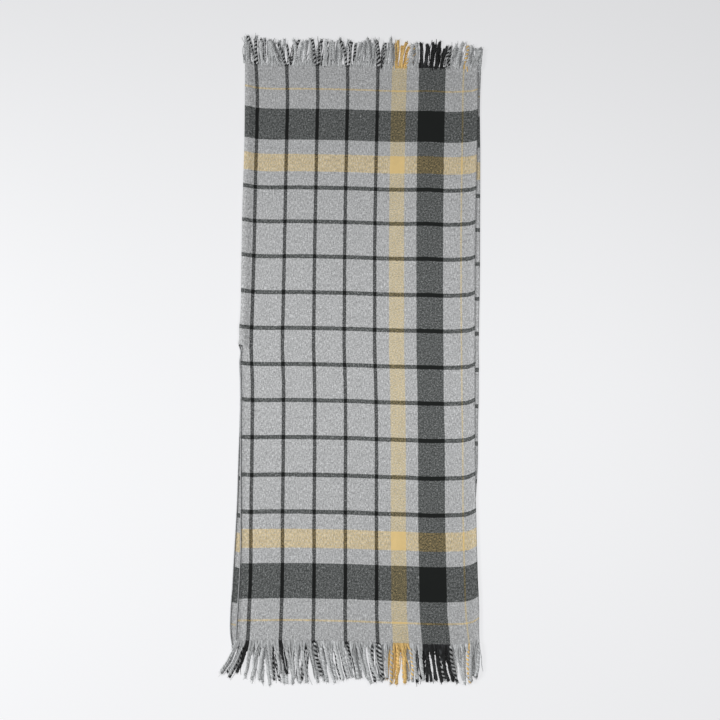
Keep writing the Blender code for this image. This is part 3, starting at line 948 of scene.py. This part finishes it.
def lay_stitch(side, w, reach):
    """The middle line of one stitch over the hem's edge, in mm."""
    line = on_hem(side, w, np.linspace(top_row(reach), STITCH_END, stitch_rod.rings))
    ahead = np.gradient(line, axis=0)
    ahead /= np.linalg.norm(ahead, axis=1)[:, None]
    # Outwards from the hem: up over its top, to -X at its edge, and down below
    outwards = np.stack([ahead[:, 2], np.zeros(len(line)), -ahead[:, 0]], axis=-1)
    line += outwards * (HEM_WALL / 2 + STITCH_HALF_HEIGHT * 0.4)
    line[:, 1] += np.linspace(STITCH_SLANT / 2, -STITCH_SLANT / 2, len(line))
    line[:, 2] = np.maximum(line[:, 2], STITCH_HALF_HEIGHT + REST_GAP)
    return line


def lay_run(side, w, offset):
    """The middle line of one stitch along the hem, in mm."""
    line = []
    for share in np.linspace(0, 1, stitch_rod.rings):
        point = on_hem(side, w + share * RUN_LENGTH, top_row(RUN_IN + offset))
        point[2] += HEM_WALL / 2 + RUN_HALF_HEIGHT * (1.2 * math.sin(math.pi * share) - 0.5)
        line.append(point)
    return np.array(line)


def stitch(line, half_width, half_height, colour, chance):
    tone = chance.uniform(0.8, 1.2)
    width = np.full(stitch_rod.rings, half_width * chance.uniform(0.85, 1.15))
    height = np.full(stitch_rod.rings, half_height)
    return bend_rod(stitch_rod, line, width, height, [part * tone for part in colour])


stitch_rows = []
chance = random.Random(3)
for name, side in (("upper_slit_stitches", 1), ("under_slit_stitches", -1)):
    copies = []
    for w in np.arange(-FRONT_LENGTH + 1, -1, STITCH_STEP):
        line = lay_stitch(side, w, STITCH_REACH + chance.uniform(-0.3, 0.3))
        copies.append(stitch(line, STITCH_HALF_WIDTH, STITCH_HALF_HEIGHT, PALE_THREAD, chance))
    for w in np.arange(-FRONT_LENGTH + 1, -RUN_LENGTH, RUN_STEP):
        line = lay_run(side, w, chance.uniform(-0.2, 0.2))
        copies.append(stitch(line, RUN_HALF_WIDTH, RUN_HALF_HEIGHT, SHADE_DARK_THREAD, chance))
    for offset in SHADOW_TACK:
        line = lay_run(side, SHADOW_TACK_START, offset)
        copies.append(stitch(line, RUN_HALF_WIDTH, 1.3 * RUN_HALF_HEIGHT, SHADE_DARK_THREAD, chance))
    stitch_rows.append(join_rods(name, copies, hem_thread))
    print(name, len(copies), "stitches")

# %% [markdown]
# ## Cords of the fringe
#
# The warp threads that hang out of each end are gathered in pairs of bundles, 7 mm of threads in each,
# and each pair is twisted into a cord. So a bundle has the colour of its own threads: beside a black
# line, a cord is half black and half grey and looks like a candy cane. In the black band all the cords
# are black. First each cord gets its plan: where it starts, which way it falls and how long it is. The
# tables of falls hold a row for each place where the way of falling changes.

# %% Falls of the cords
# The place of a fall, the cord's length along the garment and its drift to +X, in mm
FRONT_UPPER_FALLS = make_table("s reach lean", [
    (14, 82, -44), (28, 84, -37), (42, 82, -29), (56, 92, -14), (70, 90, -10), (84, 100, -12),
    (98, 100, 7), (126, 88, 16), (154, 100, 12), (182, 105, 12), (210, 92, 18), (252, 104, 19),
    (294, 94, 20), (336, 104, 21), (378, 101, 14), (386, 100, 9), (402, 98, 2), (417, 102, -8),
    (430, 102, -5), (444, 98, 4), (458, 96, 5), (490, 98, 12), (574, 97, 12), (602, 100, 6),
    (623, 102, 0), (651, 90, 0),
])
FRONT_UNDER_FALLS = make_table("s reach lean", [
    (14, 72, -36), (42, 74, -34), (63, 84, -14), (84, 86, -4), (105, 88, 12), (126, 86, 12),
    (196, 90, -6), (238, 90, 8), (280, 92, 13), (350, 90, 14), (399, 92, 2), (427, 96, -6),
    (462, 92, 6), (500, 92, 0), (560, 88, 10), (651, 84, 0),
])
BACK_UPPER_FALLS = make_table("s reach lean", [
    (7, 84, 0), (21, 84, -6), (35, 84, -20), (49, 78, -10), (63, 76, 0), (84, 78, -2), (98, 76, -12),
    (119, 72, -30), (133, 68, -4), (147, 76, 6), (168, 68, 5), (182, 84, 5), (203, 74, -4),
    (217, 80, 10), (238, 80, 2), (252, 66, 4), (266, 82, 4), (287, 82, -15), (301, 72, 7),
    (322, 72, 12), (336, 82, 12), (371, 86, -4), (385, 80, 3), (403, 83, 10), (417, 88, 2),
    (427, 84, 6), (441, 80, 13), (458, 66, 20), (472, 72, 3), (504, 71, 3), (546, 74, 13),
    (560, 62, 15), (574, 76, 16), (602, 76, 12), (630, 60, 16), (651, 50, 18),
])
BACK_UNDER_FALLS = make_table("s reach lean", [
    (0, 84, 4), (84, 82, 0), (126, 82, 9), (168, 84, 4), (210, 84, 20), (252, 84, 8), (336, 86, 4),
    (434, 80, 3), (490, 84, 4), (529, 80, 12), (565, 74, 6), (600, 90, 4), (651, 74, 6),
])

# %% Plan the cords
TWIST = 10.9                  # mm for one turn
PLY_HALF_WIDTH, PLY_HALF_HEIGHT = 2.75, 1.65
TWIST_HALF_WIDTH, TWIST_HALF_HEIGHT = 1.75, 1.15    # from the cord's middle to a ply's
CORD_HALF_WIDTH, CORD_HALF_HEIGHT = 4.4, 2.65       # the room that a resting cord takes
RIBBON_HALF_HEIGHT, RIBBON_OVERLAP = 1.1, 1.15      # of a bundle where it leaves the cloth
TUCK = 3.0                    # mm inside the cloth, where a bundle leaves the weave
TUFT_REACH = 4.0              # mm that the brush at a cut end goes on past it
STRIPED_GATHER = 9.0          # black beside grey or amber is twisted hard, right from the cloth
# The cords' edges. In front, the maker's pairs share out the black lines differently.
even_edges = spread(0, (644, 46), (HALF_WIDTH, 1))
front_upper_edges = spread(
    14, (25, 1), (37, 1), (47, 1), (121, 5), (131, 1), (220.5, 6), (304.5, 6), (378, 5), (410, 2),
    (644, 17), (HALF_WIDTH, 1),
)
# How far out the bundles gather, how far a fall strays, and how many yarns stay out of a cord
Habit = namedtuple("Habit", "gather stray strands")
BACK, FRONT = Habit((12, 45), 3.5, (1, 1, 2, 3)), Habit((18, 80), 3, (0, 1, 1, 2))
FRINGE_ENDS = make_table("name node upper at_back edges falls habit", [
    ("back_under_fringe", "fringe_back_under", False, True, even_edges, BACK_UNDER_FALLS, BACK),
    ("back_upper_fringe", "fringe_back_upper", True, True, even_edges, BACK_UPPER_FALLS, BACK),
    ("front_under_fringe", "fringe_front_right", False, False, even_edges[1:], FRONT_UNDER_FALLS, FRONT),
    ("front_upper_fringe", "fringe_front_left", True, False, front_upper_edges, FRONT_UPPER_FALLS, FRONT),
])
print("cords in each piece:", {end.name: len(end.edges) - 1 for end in FRINGE_ENDS})

# %% Colours of the bundles
FRINGE_YARNS = {
    "grey": linear("#C6C8C9"), "black": linear("#161718"), "deep_black": linear("#131415"),
    "amber": linear("#EEC880"),
}
YARN_TONES = (0.78, 1.16)
LEAST_BUNDLE = 3              # mm of threads


def bundle_colour(start, end, chance):
    """The colour that most of a bundle's threads have, or a mix where no colour wins."""
    shares = dict.fromkeys(FRINGE_YARNS, 0.0)
    for stripe in WARP_STRIPES:
        covered = min(end, stripe.end) - max(start, stripe.start)
        shares[stripe.yarn] += max(covered, 0.0) / (end - start)
    shares["grey"] = max(1.0 - sum(shares.values()), 0.0)
    winner = max(shares, key=shares.get)
    if shares[winner] > 0.5:
        shares = {winner: 1.0}
    mixed = [sum(part * FRINGE_YARNS[n][i] ** 0.5 for n, part in shares.items()) for i in range(3)]
    tone = chance.uniform(*YARN_TONES)
    return [min(part**2 * tone, 1.0) for part in mixed]


def part_bundles(start, stop, chance):
    """Where a cord's threads part into its two bundles: at a stripe's edge, if one is near."""
    stripe_edges = [edge for stripe in WARP_STRIPES for edge in (stripe.start, stripe.end)]
    near = [edge for edge in stripe_edges if start + LEAST_BUNDLE < edge < stop - LEAST_BUNDLE]
    middle = (start + stop) / 2
    return min(near, key=lambda edge: abs(edge - middle), default=middle + chance.uniform(-0.5, 0.5))


# %% Plans of the cords
# What differs from cord to cord, from the least to the most
REACHES, TWIST_STARTS, FULLNESSES = (0.90, 1.04), (0.0, 4.0), (0.88, 1.18)
BOW = 2.0                     # mm; most cords bow less than this
STRIPED = 3                   # a cord is striped where one ply is more than this times as light
CordPlan = namedtuple("CordPlan", "places colours striped reach lean bow wave gather twist_start fullness")


def plan_cords(end, chance):
    """The cords of one end of one layer, from the fold side to the open side."""
    plans = []
    for start, stop in zip(end.edges, end.edges[1:]):
        middle = part_bundles(start, stop, chance)
        colours = [bundle_colour(start, middle, chance), bundle_colour(middle, stop, chance)]
        reach = float(read(end.falls, "s", "reach", middle) * chance.uniform(*REACHES))
        lean = float(read(end.falls, "s", "lean", middle) + chance.gauss(0, end.habit.stray))
        darker, lighter = sorted(max(colour) for colour in colours)
        striped = lighter > STRIPED * darker
        gather = STRIPED_GATHER if striped else chance.uniform(*end.habit.gather)
        plans.append(CordPlan(
            (start, middle, stop), colours, striped, reach + TUCK - TUFT_REACH, lean,
            chance.gauss(0, BOW), chance.uniform(0, 2 * math.pi), gather,
            chance.uniform(*TWIST_STARTS), chance.uniform(*FULLNESSES),
        ))
    return plans


# %% [markdown]
# ## Cords come to rest
#
# A cord lies on the floor, or on the cords that are already there. settle() finds the lowest height
# that clears them at each point, and then lets the cord hang between those points as a soft rod would,
# so a cord that crosses another rises and falls in a long low hump. The under layer's cords are laid
# first, and the upper layer's come to rest on them. The cords are pressed a little flat, so the room
# that each one takes is an ellipse.

# %% Settle the cords
FLAT_LENGTH = 14              # mm past the cloth, where a bundle still lies flat
MAX_PILE = 10.5               # mm: where many cords cross, they press into each other
EASE_ROUNDS = 160
SAG_EACH_ROUND = 0.012        # mm


def settle(path, root_height, laid, upper, half_width, half_height):
    """Heights above the floor of the points of a cord or a strand, in mm."""
    x, y = path[:, 0], path[:, 1]
    need = np.where((past_under_end(x, y) < 0) & upper, CLOTH, 0.0) + half_height
    room = CORD_HALF_WIDTH + half_width
    for other in laid:
        if other[:, 0].min() > x.max() + room or other[:, 0].max() < x.min() - room:
            continue
        order = np.argsort(other[:, 1])
        other_x = np.interp(y, other[order, 1], other[order, 0], left=1e4, right=1e4)
        other_z = np.interp(y, other[order, 1], other[order, 2])
        apart = np.minimum(np.abs(other_x - x) / room, 1.0)
        lift = (CORD_HALF_HEIGHT + half_height) * np.sqrt(1.0 - apart**2)
        need = np.maximum(need, np.where(apart < 1.0, other_z + lift, 0.0))
    need = np.minimum(need, MAX_PILE)
    # Near the cloth the bundles are still flat ribbons, and lie at the cloth's own height
    flat = 1 - smooth_step(path_length(path[:, :2]) / FLAT_LENGTH)
    need = need * (1 - flat) + np.minimum(need, root_height) * flat
    height = np.maximum(need, np.linspace(root_height, half_height, len(path)))
    for _ in range(EASE_ROUNDS):
        height[1:-1] = 0.5 * (height[:-2] + height[2:]) - SAG_EACH_ROUND
        height[-1] = height[-2]
        height = np.maximum(height, need)
        height[0] = root_height
    return height


# %% Lay the cords
CORD_POINTS = 64
WAVE_HEIGHT, WAVE_COUNT = 0.8, 2.3          # mm, and waves along a cord


def place_roots(end, places):
    """Where places along a layer's end are, in mm of the model's frame."""
    w = BACK_LENGTH - TUCK if end.at_back else TUCK - FRONT_LENGTH
    side = 1 if end.upper else -1
    return lay_row(sorted(side * place for place in places), w)[::side] / MM


def falling_path(end, root, reach, lean, bow, wave, count):
    """A path that leaves the cloth at its root and drifts aside as it falls, still without heights."""
    out = np.linspace(0.0, 1.0, count)
    x = root[0] + lean * out**1.5 + bow * np.sin(math.pi * out)
    x += WAVE_HEIGHT * out * np.sin(2 * math.pi * WAVE_COUNT * out + wave)
    y = root[1] + (reach if end.at_back else -reach) * out
    return np.stack([x, y, np.zeros(count)], axis=-1)


def lay_cord(end, plan, laid):
    """The middle line of a cord and its bundles' edges."""
    roots = place_roots(end, plan.places)
    path = falling_path(end, roots[1], plan.reach, plan.lean, plan.bow, plan.wave, CORD_POINTS)
    path[:, 2] = settle(path, roots[1, 2], laid, end.upper, CORD_HALF_WIDTH, CORD_HALF_HEIGHT)
    return path, roots


# %% [markdown]
# ## Plies and single yarns
#
# Each cord is drawn as its two plies. They leave the cloth as flat ribbons, gather and turn round each
# other. Where one ply faces the other the groove gets little light, so their points are darker there.
# A few yarns stay out of every twist and lie on the cords by themselves.

# %% Single yarns
STRAND_HALF_WIDTHS, STRAND_REACHES = (0.6, 1.4), (0.7, 1.12)  # reaches as shares of their cord's
STRAND_LEAN, STRAND_BOW = 8, 4
STRAND_FLATNESS = 0.6         # its height over its width
# Painted shade: a single yarn is coloured a shade darker than a full ply, for the shade it lies in among
# the cords
STRAND_PAINTED_SHADE = 0.9             # a thin yarn comes out a shade darker than a full ply
strand_rod = make_rod(5, 22)


def lay_strand(end, plan, laid, chance):
    """A single yarn that stayed out of the twist, and lies on the cords by itself."""
    place = chance.uniform(plan.places[0] + 1, plan.places[2] - 1)
    root = place_roots(end, [place])[0]
    half_width = chance.uniform(*STRAND_HALF_WIDTHS)
    path = falling_path(
        end, root, plan.reach * chance.uniform(*STRAND_REACHES), plan.lean + chance.gauss(0, STRAND_LEAN),
        chance.gauss(0, STRAND_BOW), chance.uniform(0, 2 * math.pi), strand_rod.rings,
    )
    path[:, 2] = settle(path, root[2], laid, end.upper, half_width, STRAND_FLATNESS * half_width)
    # It is wider where it leaves the cloth, and narrower at its cut end
    last = strand_rod.rings - 1
    width = half_width * np.interp(range(last + 1), [0, 3, last - 3, last], [1.5, 1, 1, 0.5])
    height = np.minimum(STRAND_FLATNESS * width, 0.9 * path[:, 2])
    colour = [STRAND_PAINTED_SHADE * part for part in bundle_colour(place - 1, place + 1, chance)]
    return bend_rod(strand_rod, path, width, height, colour)


# %% The two plies of a cord
GROOVE_DARKNESS = 0.55
UNEVEN_TWIST, UNEVEN_LENGTH = 0.8, 11       # radians more or less, and the mm in which that changes
TIP_OPENS, TIP_OPEN_LENGTH = 0.12, 7        # a cut end opens a little,
TIP_ROUNDS, TIP_ROUND_LENGTH = 0.5, 1.2     # and is round
BLACK_LIMIT = 0.05            # a bundle's colour below this is black
# A few places along a ply where it is lighter or darker, and by how much: neighbours' yarns that got into
# a striped cord, and on all-black cords pale flecks that are partly stray grey fibres and partly painted
# sheen
MINGLE_PLACES = 14
FIBRES_AND_SHEEN_IN_BLACK, PALE_IN_STRIPE, BLACK_IN_STRIPE = 5, 12, 0.55
ply_rod = make_rod(8, CORD_POINTS)
black_chance = random.Random(11)


def ply_shape(path, roots, plan, which):
    """The middle line, ring widths, ring heights and tones of one of a cord's two plies."""
    out = path_length(path)
    level, upright = path_axes(path)
    facing = np.where(level[0, 0] < 0, -1.0, 1.0)
    gathered = smooth_step(out / plan.gather)
    turned = -2 * math.pi * np.maximum(out - plan.twist_start, 0.0) / TWIST
    turned += UNEVEN_TWIST * np.sin(out / UNEVEN_LENGTH + plan.wave)
    sign = -1 if which == 0 else 1
    apart = abs(roots[which + 1, 0] - roots[which, 0]) / 2 * (1 - gathered)
    across = sign * (TWIST_HALF_WIDTH * gathered * np.cos(turned) + apart) * facing
    up = sign * TWIST_HALF_HEIGHT * gathered * np.sin(turned)
    middle = path + across[:, None] * level + up[:, None] * upright
    from_tip = out[-1] - out
    opened = TIP_OPENS * smooth_step(1 - from_tip / TIP_OPEN_LENGTH)
    rounded = TIP_ROUNDS * smooth_step(1 - from_tip / TIP_ROUND_LENGTH)
    fullness = plan.fullness * (1 + (opened - rounded))
    width = apart * RIBBON_OVERLAP + PLY_HALF_WIDTH * gathered
    height = RIBBON_HALF_HEIGHT * (1 - gathered) + PLY_HALF_HEIGHT * gathered
    # Where one ply faces the other, little light gets in: the groove between them is dark
    inwards = np.arctan2(-up, -across)[ply_rod.along]
    hidden = smooth_step(0.6 * np.cos(ply_rod.around - inwards) + 0.4)
    in_twist = gathered[ply_rod.along]
    tones = (1 - GROOVE_DARKNESS * hidden * (0.6 + 0.4 * in_twist)) * (0.84 + 0.16 * in_twist)
    middle[:, 2] = np.maximum(middle[:, 2], 1.1 * height * fullness)  # above the floor
    return middle, width * fullness, height * fullness, tones


def mingle_and_sheen(plan, which, chance):
    """How a ply changes its tone along it: where a few of the neighbours' yarns got in, and on all-black
    plies pale flecks that are partly grey fibres and partly painted sheen.
    """
    own, other = max(plan.colours[which]), max(plan.colours[1 - which])
    all_black = not plan.striped and own < BLACK_LIMIT
    if not plan.striped and not all_black:
        return np.ones(CORD_POINTS)
    places = np.linspace(0, CORD_POINTS - 1, MINGLE_PLACES)
    draw = black_chance if all_black else chance
    strangers = np.interp(np.arange(CORD_POINTS), places, [draw.random() for _ in places])
    if all_black:
        return 1 + FIBRES_AND_SHEEN_IN_BLACK * strangers**2
    return 1 + PALE_IN_STRIPE * strangers**3 if own < other else 1 - BLACK_IN_STRIPE * strangers


# %% [markdown]
# ## Loose fibres
#
# A cut end of soft yarn opens into a small brush, and fine fibres stand off a cord all the way along.
# Both soften the cord's outline. They are thin three-sided rods, a few on each tip and a dozen on each
# cord, all in one mesh. Real fibres are finer than 0.1 mm, so these stand for wisps of several.

# %% Tufts and wisps
TUFT_COUNT, WISP_COUNT = 4, 12              # on each ply's tip, and on each cord
TUFT_LENGTHS, WISP_LENGTHS = (6, 12), (6, 10)
TUFT_HALF_WIDTH, WISP_HALF_WIDTH = 0.6, 0.2
TUFT_SPREAD, WISP_ANGLES = 0.22, (0.4, 1.2)  # radians off the yarn's own direction
tuft_rod = make_rod(3, 4)
wisp_rod = make_rod(3, 3)


def lay_fibre(rod, start, ahead, turn, length, half_width, colour):
    """A fibre that leaves a yarn at an angle, droops, and ends in a point."""
    out = np.linspace(0.0, 1.0, rod.rings)
    side = np.array([-ahead[1], ahead[0], 0.0])
    bent = turn * (0.7 + 0.6 * out)
    steps = np.cos(bent)[:, None] * ahead + np.sin(bent)[:, None] * side
    path = start + np.cumsum(steps, axis=0) * length / rod.rings
    path[:, 2] = np.maximum(start[2] - 0.8 * out, 0.5 * half_width + 0.15)
    width = half_width * (1 - 0.7 * out)
    return bend_rod(rod, path, width, width, colour)


def heading(path, i):
    """The level direction of a path at its point i."""
    before, after = path[max(i - 2, 0)], path[min(i + 2, len(path) - 1)]
    ahead = np.array([after[0] - before[0], after[1] - before[1], 0.0])
    return ahead / np.linalg.norm(ahead)


def lay_tuft(path, colour, chance):
    """The brush at a ply's cut end."""
    fibres = []
    for _ in range(TUFT_COUNT):
        tone = chance.uniform(0.8, 1.25)
        fibres.append(lay_fibre(
            tuft_rod, path[-4], heading(path, len(path) - 2), chance.gauss(0, TUFT_SPREAD),
            chance.uniform(*TUFT_LENGTHS), TUFT_HALF_WIDTH, [min(part * tone, 1.0) for part in colour],
        ))
    return fibres


def lay_wisps(path, colours, chance):
    """The fibres that stand off a cord along its length."""
    fibres = []
    for _ in range(WISP_COUNT):
        i = chance.randrange(4, len(path) - 2)
        turn = chance.choice((-1, 1)) * chance.uniform(*WISP_ANGLES)
        start = path[i] + [chance.uniform(-2.5, 2.5), 0.0, chance.uniform(0.0, 1.6)]
        colour = chance.choice(colours)
        length = chance.uniform(*WISP_LENGTHS)
        fibres.append(lay_fibre(wisp_rod, start, heading(path, i), turn, length, WISP_HALF_WIDTH, colour))
    return fibres


# %% Make the fringe pieces
chance = random.Random(7)
laid = {True: [], False: []}
fringes, loose_fibres = [], []
for end in FRINGE_ENDS:
    plies = []
    for plan in plan_cords(end, chance):
        path, roots = lay_cord(end, plan, laid[end.at_back])
        laid[end.at_back].append(path)
        for which, colour in enumerate(plan.colours):
            middle, width, height, tones = ply_shape(path, roots, plan, which)
            tones = tones * mingle_and_sheen(plan, which, chance)[ply_rod.along]
            plies.append(bend_rod(ply_rod, middle, width, height, colour, tones))
            loose_fibres += lay_tuft(middle, colour, chance)
        loose_fibres += lay_wisps(path, plan.colours, chance)
        for _ in range(chance.choice(end.habit.strands)):
            plies.append(lay_strand(end, plan, laid[end.at_back], chance))
    fringe = join_rods(end.name, plies, warp_yarn)
    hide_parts(end.node)
    fringes.append(fringe)
    print(end.name, len(plies), "plies and yarns,", len(fringe.data.polygons), "faces")
fringes.append(join_rods("loose_fibres", loose_fibres, warp_yarn))
print("loose_fibres", len(loose_fibres), "fibres")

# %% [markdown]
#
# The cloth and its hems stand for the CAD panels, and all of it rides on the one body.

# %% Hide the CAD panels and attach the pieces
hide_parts("back_panel", "front_left_panel", "front_right_panel")
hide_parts("front_left_hem")
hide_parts("front_right_hem")
for slot, pieces in (
    ("plaid_cloth", [cloth]), ("hem_cloth", [*hems, *stitch_rows]), ("fringe_yarn", fringes),
):
    for piece in pieces:
        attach(piece, "root")
